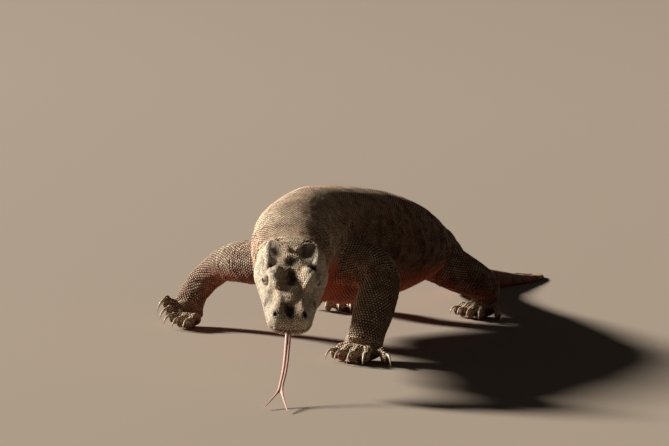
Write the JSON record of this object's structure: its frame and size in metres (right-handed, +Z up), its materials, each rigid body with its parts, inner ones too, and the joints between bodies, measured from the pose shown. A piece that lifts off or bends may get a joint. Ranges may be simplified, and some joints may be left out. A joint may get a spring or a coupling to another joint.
{
  "type": "komodo dragon",
  "caption": "Life-size still model of a komodo dragon walking on four bent legs, head low and turned, forked tongue out, tail laid on the floor.",
  "frame": {"origin": "the floor point under the middle of the whole model's bounding box", "axes": "-Y ahead, the way the animal walks; +X its left side; +Z up"},
  "size_m": [0.8168, 2.6832, 0.3529],
  "materials": {
    "skin": "dry, beaded scales, dusty",
    "claw": "worn horn, satin",
    "eye": "wet, glossy",
    "tongue": "moist, smooth"
  },
  "bodies": {
    "root": {"claw_fore_left_1": "claw", "claw_fore_left_2": "claw", "claw_fore_left_3": "claw", "claw_fore_left_4": "claw", "claw_fore_left_5": "claw", "claw_fore_right_1": "claw", "claw_fore_right_2": "claw", "claw_fore_right_3": "claw", "claw_fore_right_4": "claw", "claw_fore_right_5": "claw", "claw_hind_left_1": "claw", "claw_hind_left_2": "claw", "claw_hind_left_3": "claw", "claw_hind_left_4": "claw", "claw_hind_left_5": "claw", "claw_hind_right_1": "claw", "claw_hind_right_2": "claw", "claw_hind_right_3": "claw", "claw_hind_right_4": "claw", "claw_hind_right_5": "claw", "eye_left": "eye", "eye_right": "eye", "forearm_left": "skin", "forearm_right": "skin", "forefoot_left": "skin", "forefoot_right": "skin", "head": "skin", "hindfoot_left": "skin", "hindfoot_right": "skin", "lower_jaw": "skin", "neck": "skin", "shank_left": "skin", "shank_right": "skin", "tail_1": "skin", "tail_2": "skin", "tail_3": "skin", "tail_4": "skin", "thigh_left": "skin", "thigh_right": "skin", "tongue": "tongue", "trunk_front": "skin", "trunk_rear": "skin", "upper_arm_left": "skin", "upper_arm_right": "skin"}
  },
  "joints": []
}
